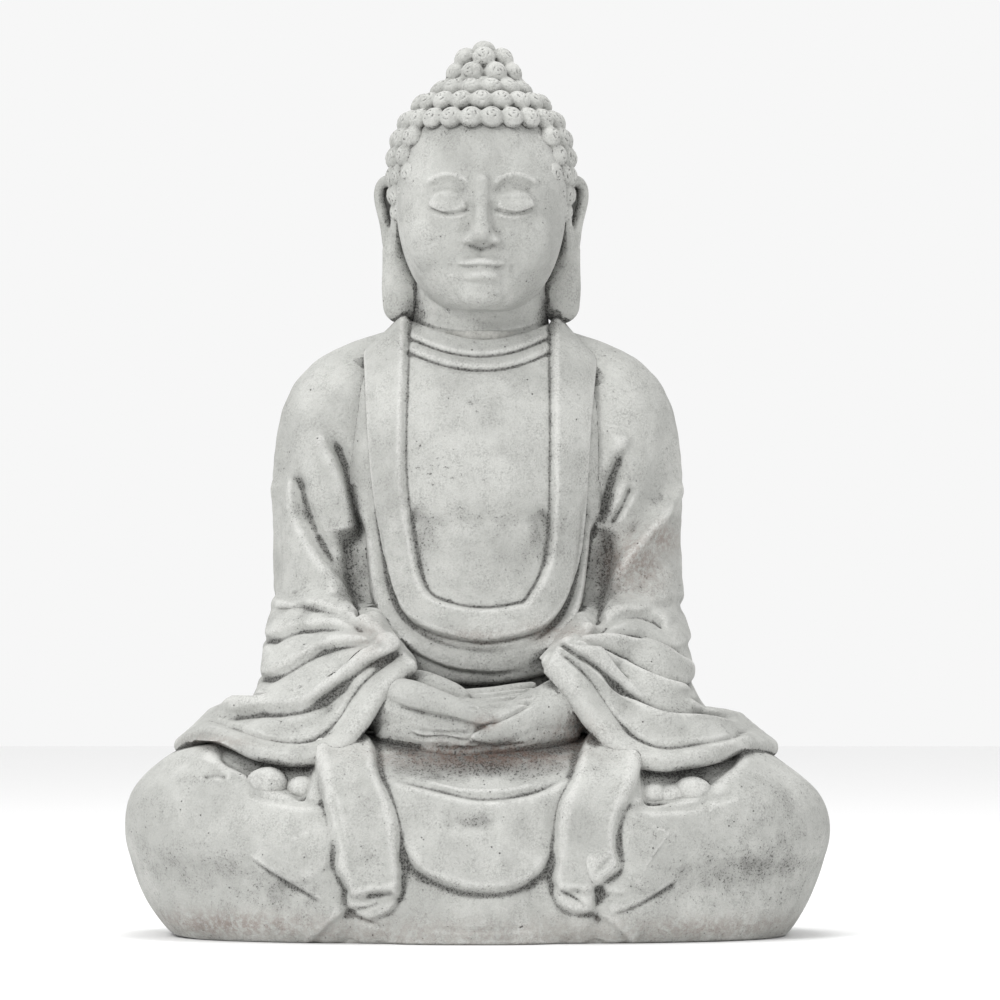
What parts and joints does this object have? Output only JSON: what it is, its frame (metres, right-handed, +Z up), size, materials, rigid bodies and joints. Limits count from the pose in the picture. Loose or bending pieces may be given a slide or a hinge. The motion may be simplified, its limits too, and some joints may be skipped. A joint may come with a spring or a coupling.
{
  "type": "seated buddha statue",
  "caption": "Seated meditating buddha garden statue, pale grey cast stone: crossed legs, hands in the lap, draped open robe, curled hair with topknot, long ear lobes.",
  "frame": {"origin": "on the ground, at the middle of the footprint's bounding box", "axes": "+Z up through the topknot; the statue faces -Y; +X is the statue's left hand side, which is on the right when it is seen from the front"},
  "size_m": [0.5465, 0.3508, 0.7],
  "materials": {
    "cast_stone": "matt pale grey fibre cement with a dark wash left in the hollows",
    "mortar": "matt fine mortar",
    "board": "sanded fibre-cement board",
    "glass_mat": "resin-wetted glass mat",
    "stainless": "plain stainless steel",
    "galvanised": "hot-dip galvanised",
    "nylon": "grey nylon"
  },
  "bodies": {
    "root": {"legs_casting": "cast_stone", "base_plate": "board", "base_screws": "stainless", "screw_plugs": "nylon", "torso_front_shell": "cast_stone", "torso_back_shell": "cast_stone", "side_seam_mortar": "mortar", "left_seam_tape": "glass_mat", "right_seam_tape": "glass_mat", "waist_mortar": "mortar", "left_sleeve_mortar": "mortar", "right_sleeve_mortar": "mortar", "hands_mortar": "mortar", "left_arm_casting": "cast_stone", "right_arm_casting": "cast_stone", "arm_dowels": "stainless", "hands_casting": "cast_stone", "hand_dowels": "stainless", "neck_mortar": "mortar", "head_casting": "cast_stone", "curl_cap_casting": "cast_stone", "left_ear": "cast_stone", "right_ear": "cast_stone", "ear_dowels": "stainless", "upright_bar": "galvanised", "foot_bar": "galvanised", "shoulder_bar": "galvanised"}
  },
  "joints": []
}
